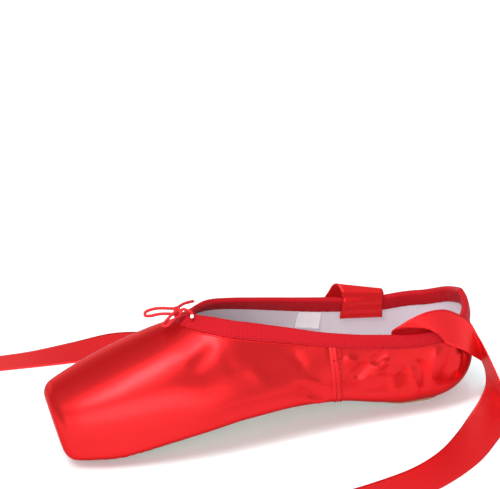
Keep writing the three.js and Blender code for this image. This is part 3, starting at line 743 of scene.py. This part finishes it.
def lining_half(side):
    """One half of the lining, from the stiffened toe back."""
    at = np.concatenate(
        [
            TOE_BLOCK + BLOCK_ROUND * (1 - np.cos(np.linspace(0, 1, 6) * math.pi / 2)),
            np.arange(15, THROAT - 1, 3),
            THROAT + np.array([0, 0.4, 1.4, 3, 5.4, 8]),
            np.arange(87, HEEL_CENTRE, 2.6),
            np.linspace(HEEL_CENTRE, HEEL_END, 24),
        ]
    )
    inset = wall(at) + rim_inset(at - TOE_BLOCK, BLOCK_ROUND)
    end = collar_round(at)
    a0 = 0.5 * np.linspace(0, 1, 19)[None, :] + 0 * at[:, None]
    a1 = 0.5 + (end - 0.5)[:, None] * np.linspace(0, 1, 27)[None, 1:]
    around = np.concatenate([a0, a1], 1)
    at2 = np.broadcast_to(at[:, None], around.shape)
    pts = last_point(at2, around, inset[:, None])
    n = unit(np.cross(np.gradient(pts, axis=0), np.gradient(pts, axis=1)))
    h = -0.12 * np.exp(-(((at2 - LINING_SEAM) / 0.8) ** 2)) * (around > 0.3)
    pts = pts + n * h[..., None]
    pts[np.abs(pts[..., 1]) < 1e-3, 1] = 0
    centre = np.array([placed(TOE_BLOCK, 0, PLATFORM_MIDDLE)[0], 0, PLATFORM_MIDDLE])
    pts = np.concatenate([np.array([centre + (pts[0] - centre) * s for s in (0.0, 0.5)]), pts])
    return mirror_y(pts) if side > 0 else pts


lining = Parts()
lining.grid(lining_half(-1), flip=True)
lining.grid(lining_half(1))
lining = lining.make("lining", LINING, merge=2e-5)
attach(lining, "root")
thicken(lining, LINING_THICK, -1)
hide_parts("upper")


# The outsole and the insole
def board(name, mat, stations, half_at, top_at, thickness, soft):
    """A board on the shoe's underside with softened edges, as rings of its outline shrunk in steps."""
    shares = np.concatenate([np.linspace(0, 0.9, 9), [0.95, 0.975, 1.0]])
    at = np.asarray(stations, float)
    half, top = half_at(at), top_at(at)
    rows = []
    for s in shares:
        edge = np.clip(1 - (1 - s) * half / soft, 0, 1)
        drop = soft * (1 - np.sqrt(np.clip(1 - edge**2, 0, 1)))
        rows.append((half * s, np.minimum(drop, thickness / 2 - 0.02)))
    upper_side = [placed(at, o, top - d) for o, d in rows]
    under_side = [placed(at, o, top - thickness + d) for o, d in rows]
    ring = np.stack([*under_side, *upper_side[::-1]], 1)
    parts = Parts()
    parts.grid(ring)
    parts.grid(mirror_y(ring), flip=True)
    n = len(shares)
    ends = []
    for m in (1, -1):
        first = ring[0] * np.array([1, m, 1])
        for j in range(n - 1):
            ends.append([first[j], first[j + 1], first[2 * n - 2 - j], first[2 * n - 1 - j]])
    parts.add(np.array(ends).reshape(-1, 3), np.arange(len(ends) * 4).reshape(-1, 4))
    o = parts.make(name, mat, merge=2e-5)
    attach(o, "root")
    return o


def sole_half(at):
    rounded = np.sqrt(np.clip((at - SOLE_FRONT + 0.2) / TOE_CURVE, 0.001, None))
    return outsole_half(at) * np.minimum(1, rounded)


def sole_top(at):
    return SECTION["low"](at) - FIT_GAP


OUTSOLE_STATIONS = np.concatenate(
    [
        SOLE_FRONT + np.array([0, 0.3, 0.8, 1.5, 2.4, 3.5, 4.8, 6.2]),
        np.arange(23, HEEL_CENTRE, 2),
        np.linspace(HEEL_CENTRE, HEEL_END, 30),
    ]
)
OUTSOLE_SOFT = 0.8
outsole = board(
    "outsole_leather", LEATHER, OUTSOLE_STATIONS, sole_half, sole_top, SOLE_THICK, OUTSOLE_SOFT
)
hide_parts("outsole")


def insole_outline(at):
    rounded = np.sqrt(np.clip((at - INSOLE_FRONT + 0.3) / 12, 0.001, None))
    return insole_half(at) * np.minimum(1, rounded)


def insole_top(at):
    at = np.minimum(at, HEEL_CENTRE)
    around = low_round(at, insole_outline(at), wall(at))
    return last_point(at, around, wall(at))[..., 2] + FIT_GAP + 0.15 + INSOLE_THICK


INSOLE_STATIONS = np.concatenate(
    [
        INSOLE_FRONT + np.array([0, 0.4, 1.2, 2.4, 4, 6]),
        np.arange(42, HEEL_CENTRE, 2.5),
        np.linspace(HEEL_CENTRE, HEEL_END, 30),
    ]
)
INSOLE_SOFT = 0.7
insole = board(
    "insole_cover", BOARD, INSOLE_STATIONS, insole_outline, insole_top, INSOLE_THICK, INSOLE_SOFT
)
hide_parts("insole")


# The binding
def binding_half():
    """The casing from the throat to the heel's middle, its fold rounded and gathered round the throat."""
    face = FIT_GAP + BINDING_THICK
    at = np.concatenate(
        [
            THROAT + 10 * np.linspace(0, 1, 60) ** 2,
            np.arange(86.3, HEEL_CENTRE, 0.42),
            np.linspace(HEEL_CENTRE, HEEL_END, 110),
        ]
    )
    run = run_of(last_point(at, collar_round(at), 0))
    gather = 0.05 + 0.2 * np.exp(-((run / 34) ** 2))
    wave = np.sin(run * 2 * math.pi / 1.9 + 0.9 * np.sin(run * 0.7)) * gather
    slow = 0.12 * np.sin(run * 0.31 + 1) * np.exp(-((run / 70) ** 2))
    deep = binding_outside(at)
    rows = []

    def row(depth, outside=None, inside=None, off=0.0, wavy=0.0):
        d = depth + (0.05 * np.sin(run * 1.3) + 0.4 * slow) * (depth > 4)
        lift = wave * wavy
        off_edge = off + 0 * at
        if outside is not None:
            rows.append(collar_point(at, d, outside=outside + lift, off_edge=off_edge))
        else:
            rows.append(collar_point(at, d, inside=inside + lift, off_edge=off_edge))

    row(deep, outside=FIT_GAP * 0.4)
    row(deep, outside=face * 0.75, wavy=0.4)
    row(deep - 0.35, outside=face - 0.05, wavy=0.7)
    row(deep - 0.9, outside=face - 0.22, wavy=0.5)
    row(deep - 1.5, outside=face, wavy=1)
    for share in (0.62, 0.45, 0.28, 0.12):
        row(deep * share, outside=face + 0.1, wavy=1)
    row(0 * at, outside=face * 0.92, off=0.25, wavy=0.8)
    row(0 * at, outside=face * 0.6, off=face * 0.8, wavy=0.4)
    row(0 * at, outside=face * 0.1, off=face * 1.02)
    row(0 * at, inside=face * 0.1, off=face * 1.02)
    row(0 * at, inside=face * 0.6, off=face * 0.8, wavy=0.4)
    row(0 * at, inside=face * 0.92, off=0.25, wavy=0.8)
    for share in (0.12, 0.3, 0.5, 0.7):
        row(BINDING_INSIDE * share + 0 * at, inside=face, wavy=1)
    row(BINDING_INSIDE - 0.8 + 0 * at, inside=face - 0.2, wavy=0.5)
    row(BINDING_INSIDE + 0 * at, inside=face * 0.8, wavy=0.4)
    row(BINDING_INSIDE + 0 * at, inside=FIT_GAP * 0.4)
    row(3 + 0 * at, inside=FIT_GAP * 0.4)
    row(0 * at, inside=FIT_GAP * 0.4, off=FIT_GAP)
    row(0 * at, outside=FIT_GAP * 0.4, off=FIT_GAP)
    row(deep * 0.5, outside=FIT_GAP * 0.4)
    g = np.stack(rows, 1)
    g[0, :, 1] = 0
    g[-1, :, 1] = 0
    return g


half = binding_half()
binding = Parts()
binding.grid(half, wrap=True)
binding.grid(mirror_y(half), wrap=True, flip=True)
binding = binding.make("binding_tape", COTTON, merge=1e-6)
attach(binding, "root")
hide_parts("binding")


# The ribbons
OVER_BINDING = 2 * FIT_GAP + BINDING_THICK
RIBBON_THICK = 0.5
STRIP_THICK = 0.4
FLAP_DEEP = 10.6  # how far below the collar's edge a ribbon's sewn end reaches
RIBBON_NEAR_STATIONS = (175.5, 197.5)
RIBBON_FAR_STATIONS = (165.9, 188.7)
STITCH_LINE = 5.4  # up from the hem
STITCH_DENT = 0.75
RIBBON_THREAD = 0.16


def flap_rows(stations, side):
    """A ribbon's sewn end inside the shoe, from its hem up to the collar's edge."""
    rows = []
    for depth in (FLAP_DEEP, 8.2, 5.6, 2.8, 0.0):
        ends = collar_point(np.array(stations), depth, inside=OVER_BINDING + RIBBON_THICK / 2)
        if side > 0:
            ends = mirror_y(ends)
        rows.append((ends[0].tolist(), ends[1].tolist()))
    return rows


# The two edges of each ribbon, from the collar to its loose end
RIBBON_NEAR = [
    ([63, -26.6, 49], [84.8, -26.6, 48]),
    ([66.2, -31.2, 53.6], [86.2, -31.8, 48.6]),
    ([72.2, -32.4, 57.2], [87.6, -33.6, 45.4]),
    ([81.1, -31.6, 59.2], [89.6, -34, 41.4]),
    ([91.5, -28.5, 57.6], [94.6, -33.4, 38]),
    ([99.6, -26.6, 53], [101.6, -30.2, 33.2]),
    ([106.6, -23.6, 46.8], [108.6, -23.6, 26.6]),
    ([111.2, -22.4, 39], [115.6, -14.6, 19.6]),
    ([115.2, -23.4, 30], [119.6, -8.4, 15.4]),
    ([118.6, -27, 20], [121.4, -8.4, 9.4]),
    ([121.4, -32.4, 9.6], [119.4, -13.6, 4.2]),
    ([121.8, -40.4, 1.6], [112.6, -22.6, 1]),
    ([114.4, -56, 0.4], [98.8, -40.6, 0.6]),
    ([101.6, -72.4, 0.4], [85.6, -57.4, 0.8]),
    ([83.8, -91.4, 0.4], [70, -74.4, 1.4]),
    ([59.7, -108, 0.4], [50.8, -88.4, 2.4]),
    ([32.9, -118.6, 0.4], [27, -97.8, 3.4]),
    ([6.4, -124.6, 0.4], [3.4, -103.2, 3.8]),
    ([-16, -128, 0.4], [-18, -106.4, 3.4]),
]
RIBBON_FAR = [
    ([53.6, 27, 50.2], [76.9, 26.7, 47.9]),
    ([52.9, 26.9, 54.3], [76.9, 26.8, 50]),
    ([52, 29.4, 57.4], [76.6, 29.4, 51]),
    ([50.4, 32.8, 56.2], [74.8, 33.4, 49.8]),
    ([48, 35.6, 51], [71, 37.6, 45.4]),
    ([41.6, 38.8, 40.6], [62.6, 43.8, 35]),
    ([33, 42.6, 28], [50.6, 52.4, 20]),
    ([22.4, 49.4, 15], [37.4, 63.6, 8]),
    ([9.4, 59.6, 5.4], [22, 77.4, 2.6]),
    ([-6, 75.6, 1.4], [5.6, 94.2, 1]),
    ([-21, 92.6, 0.4], [-11.4, 112.2, 2.4]),
    ([-37.6, 106.6, 0.4], [-31.4, 126.6, 5.6]),
    ([-58, 113.4, 0.4], [-56, 133.8, 7]),
    ([-81.4, 114.7, 0.4], [-81, 136, 4.4]),
    ([-104.8, 117.5, 0.4], [-106.4, 139.4, 1.4]),
    ([-126.6, 120.6, 0.4], [-129, 142.4, 0.6]),
    ([-140, 122.4, 0.4], [-142.4, 144.2, 0.6]),
]


def stitch_dent(run):
    """The cloth's drop under a line of stitches, and its rise on both sides of it."""
    off = run - STITCH_LINE
    rise = 0.7 * np.exp(-(((off + 2.8) / 1.8) ** 2)) + 0.5 * np.exp(-(((off - 3) / 2) ** 2))
    return rise - np.exp(-((off / 0.9) ** 2))


def strip(name, rows, way):
    """A ribbon along its rows of two edges, with raised selvedges. way: the side that the stitches dent."""
    across, per = 12, 12
    left = np.array([r[0] for r in rows], float)
    right = np.array([r[1] for r in rows], float)
    both = np.concatenate([(left + right) / 2, (left - right) / 2], 1)
    count = (len(rows) - 1) * per + 1
    both = spline(both, count)
    middle, arm = both[:, :3], both[:, 3:]
    tangent = unit(np.gradient(middle, axis=0))
    face = unit(np.cross(tangent, arm))
    s = np.linspace(1, -1, across + 1)
    surface = middle[:, None] + arm[:, None] * s[None, :, None]
    dent = way * STITCH_DENT * stitch_dent(run_of(middle))
    surface = surface + face[:, None] * dent[:, None, None]
    body = STRIP_THICK / 2 * np.where(np.abs(s) > 0.93, 1.5, 1.0)
    topside = surface + face[:, None] * body[None, :, None]
    underside = surface - face[:, None] * body[None, :, None]
    ring = np.concatenate([topside, underside[:, ::-1]], 1)
    ring[..., 2] = np.maximum(ring[..., 2], 0.05)
    parts = Parts()
    parts.grid(ring, wrap=True)
    n = across + 1
    for i, flip in ((0, False), (-1, True)):
        end = ring[i]
        q = np.array([[j, j + 1, 2 * n - 2 - j, 2 * n - 1 - j] for j in range(across)])
        parts.add(end, q if flip else q[:, ::-1])
    o = parts.make(name, RIBBON)
    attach(o, "root")
    width = float(2 * np.linalg.norm(arm, axis=1).mean())
    return o, (width, length_of(middle)), (middle, arm, face)


near_rows = flap_rows(RIBBON_NEAR_STATIONS, -1) + RIBBON_NEAR
far_rows = flap_rows(RIBBON_FAR_STATIONS, 1) + RIBBON_FAR
ribbon_near, near_flat, near_frame = strip("near_ribbon", near_rows, 1)
ribbon_far, far_flat, far_frame = strip("far_ribbon", far_rows, -1)
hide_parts("ribbon_near", "ribbon_near_flap")
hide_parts("ribbon_far", "ribbon_far_flap")


def flap_stitches(ribbon, way):
    """The line of stitches across a ribbon's sewn end, with a cross at each corner."""
    middle, arm, face = ribbon
    run = run_of(middle)

    def between(rows, place):
        return np.array([np.interp(place, run, rows[:, k]) for k in range(3)])

    def at(place, s):
        lift = way * (-0.5 if abs(place - STITCH_LINE) < 1 else 0.1)
        return between(middle, place) + between(arm, place) * s + between(face, place) * lift

    line = np.array([at(STITCH_LINE, s) for s in np.linspace(0.86, -0.86, 30)])
    pieces = stitches(line, 1.7, 0.7)
    for corner in (0.72, -0.72):
        for slant in (0.035, -0.035):
            steps = [(STITCH_LINE - 1.2 + 0.6 * k, corner + slant * (k - 2)) for k in range(5)]
            pieces.append(np.array([at(place, s) for place, s in steps]))
    return pieces


sewing = {"near": flap_stitches(near_frame, 1), "far": flap_stitches(far_frame, -1)}
for which, ribbon, flat in (("near", ribbon_near, near_flat), ("far", ribbon_far, far_flat)):
    sewn = tubes(which + "_ribbon_stitches", sewing[which], RIBBON_THREAD, THREAD, sides=5)
    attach(sewn, "root")

# Stitching on the satin and the binding
SEAM_THREAD = 0.24
BINDING_THREAD = 0.17
PIPING_RADIUS = 0.42
SEAM_BELOW_COLLAR = 0.085  # how far round the section the seam ends below the collar
seam = []
for side in (-1, 1):
    for row in SEAM_ROWS:
        around = np.linspace(0.27, float(collar_round(SEAM_STATION + row)) - SEAM_BELOW_COLLAR, 60)
        line = last_point(SEAM_STATION + row, around, -0.38)
        seam += stitches(line if side < 0 else mirror_y(line), 1.9, 0.8)
    top = float(collar_round(SEAM_STATION)) - SEAM_BELOW_COLLAR
    bar = last_point(np.linspace(SEAM_STATION - 2.6, SEAM_STATION + 2.6, 7), top, -0.62)
    seam.append(bar if side < 0 else mirror_y(bar))
seam = tubes("seam_stitches", seam, SEAM_THREAD, THREAD, sides=5)
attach(seam, "root")

at = np.linspace(THROAT, 132, 120)
line = collar_point(at, binding_outside(at) + 0.35, outside=0.1)
whole_line = np.concatenate([mirror_y(line)[:0:-1], line])
piping = tubes("piping", [whole_line], PIPING_RADIUS, SATIN, sides=8)
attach(piping, "root")

edge = []
at = np.concatenate([THROAT + 0.3 + 9 * np.linspace(0, 1, 40) ** 2, np.linspace(86, HEEL_END - 0.5, 260)])
for side in (-1, 1):
    line = collar_point(at, binding_outside(at) - 1.0, outside=FIT_GAP + BINDING_THICK - 0.12)
    edge += stitches(line if side < 0 else mirror_y(line), 1.3, 0.9)
edge = tubes("binding_stitches", edge, BINDING_THREAD, THREAD, sides=5)
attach(edge, "root")

# The size tag
TAG_STATIONS = (143, 156)
TAG_DEEP = (7, 18)
TAG_THICK = 0.25
rows = []
for depth in np.linspace(TAG_DEEP[0], TAG_DEEP[1], 12):
    at = np.linspace(*TAG_STATIONS, 16)
    down = (depth - TAG_DEEP[0]) / (TAG_DEEP[1] - TAG_DEEP[0])
    lift = 0.5 + 0.8 * down**3 + 0.2 * down * np.sin((at - TAG_STATIONS[0]) * 0.5)
    rows.append(mirror_y(collar_point(at, depth, inside=lift)))
tag = Parts()
tag.grid(np.array(rows))
tag = tag.make("tag", TAG)
thicken(tag, TAG_THICK, 0)
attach(tag, "root")
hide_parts("size_tag")

# The drawstring's bow
DRAWSTRING = 1.6
CORD_STEPS = 110
TIP_STANDS_OUT = 0.12
KNOT = np.array([-43.2, 0, 67.8])
# Each half of the drawstring: out of the casing, through the knot, round its loop and back to its end
CORD_FAR = [
    [-40.2, 0.8, 66.5],
    [-42, 0.2, 66.2],
    [-44.2, -0.6, 66.8],
    [-46.4, -0.6, 67.5],
    [-49.8, 0.4, 67.8],
    [-53.2, 1.5, 67.6],
    [-56.4, 2.9, 66.8],
    [-58.9, 4.5, 66.8],
    [-58.5, 5.9, 68],
    [-55.6, 5.1, 69.3],
    [-52.4, 3.9, 69.9],
    [-49.2, 2.8, 69.9],
    [-46, 1.7, 69.6],
    [-43.6, 1.2, 69.4],
    [-41.6, 2.3, 69.6],
    [-38.4, 3.8, 70.3],
    [-35.2, 5, 70.2],
    [-32.4, 6.1, 70],
]
CORD_NEAR = [
    [-40.2, -1.6, 66.2],
    [-42.2, -1.6, 65.8],
    [-44, -2.2, 66.4],
    [-45.4, -2.8, 68.5],
    [-48.4, -4.2, 67],
    [-50.9, -5.3, 65.3],
    [-52.3, -6.9, 64.2],
    [-50.2, -8.1, 64.6],
    [-47.4, -7, 65.9],
    [-44.8, -5.4, 66.8],
    [-42.4, -3.8, 67],
    [-41.4, -1.8, 68.6],
    [-40.4, -2, 69.6],
    [-38.8, -3.2, 69.4],
    [-37.2, -4.4, 68.8],
    [-36.6, -6, 68],
    [-37, -7.8, 67.3],
]


def ellipse_ring(centre, half_y, half_z, tilt):
    """A closed turn of cord, tilted about the upright."""
    count = 28
    angle = np.arange(count + 1) / count * 2 * math.pi
    ring = np.stack([0 * angle, half_y * np.cos(angle), half_z * np.sin(angle)], -1)
    turn = np.array(Matrix.Rotation(math.radians(tilt), 3, "Z"))
    return np.asarray(centre) + ring @ turn.T


# Strands inside the knot, forward and up from its middle, and the two turns round them
KNOT_STRANDS = ((-0.6, -1.5), (0.5, -0.9), (-0.5, 0.1), (0.5, 0.7), (-0.3, 1.4))
knot_paths = [[KNOT + [dx, dy, dz] for dy in (-1.9, 0, 1.9)] for dx, dz in KNOT_STRANDS]
knot_paths.append(ellipse_ring(KNOT + [0.5, 0, 0], 2.0, 2.3, 24))
knot_paths.append(ellipse_ring(KNOT + [-0.7, 0.1, 0], 1.9, 2.2, -16))
wrap = tubes("knot_wrap", knot_paths, DRAWSTRING / 2, CORD, sides=12)
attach(wrap, "root")
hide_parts("bow_knot")
for name, points in (("far", CORD_FAR), ("near", CORD_NEAR)):
    path = spline(points, CORD_STEPS)
    twist = DRAWSTRING / 2 * (1 + 0.05 * np.sin(np.arange(CORD_STEPS) * 1.9))
    pts, quads, tris = tube(path, twist, sides=12)
    cord = mesh("bow_cord_" + name, pts, quads + tris, CORD, merge=0)
    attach(cord, "root")
    out = unit(path[-1] - path[-2])
    tip_path = np.array([path[-1] - out * 0.5, path[-1] + out * 0.1, path[-1] + out * 0.7])
    pts, quads, tris = tube(tip_path, DRAWSTRING / 2 + TIP_STANDS_OUT, sides=12)
    tip = mesh("cord_tip_" + name, pts, quads + tris, TIP, merge=0)
    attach(tip, "root")
    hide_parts("bow_loop_" + name, "bow_end_" + name)


# Floor and light
FLOOR_HALF = 4000
corners = [[x * FLOOR_HALF, y * FLOOR_HALF, 0] for x, y in ((-1, -1), (1, -1), (1, 1), (-1, 1))]
floor = mesh("floor", corners, [[0, 1, 2, 3]], FLOOR)


def area(name, at, towards, size, power):
    """A soft rectangular light. Places and sizes in metres, power in watts."""
    light = bpy.data.lights.new(name, "AREA")
    light.shape = "RECTANGLE"
    light.size, light.size_y = size
    light.energy = power
    o = bpy.data.objects.new(name, light)
    bpy.context.scene.collection.objects.link(o)
    at = Vector(at)
    o.location = at
    o.rotation_euler = (Vector(towards) - at).to_track_quat("-Z", "Y").to_euler()


area("key", (-0.66, -0.58, 1.8), (-0.03, -0.02, 0.03), (0.3, 1.5), 28)
area("overhead", (0.12, -0.36, 1.95), (0, 0, 0.03), (0.3, 0.5), 5)
area("front", (-0.7, -1.9, 0.66), (-0.03, 0, 0.03), (2.0, 1.0), 25)
area("back_low", (0.1, 2.2, 0.35), (-0.02, 0, 0.05), (3.0, 0.5), 7)
world = bpy.data.worlds.new("studio")
bpy.context.scene.world = world
world.use_nodes = True
background = world.node_tree.nodes["Background"]
background.inputs["Color"].default_value = (1, 1, 1, 1)
background.inputs["Strength"].default_value = 0.6
bpy.context.scene.view_settings.view_transform = "Standard"
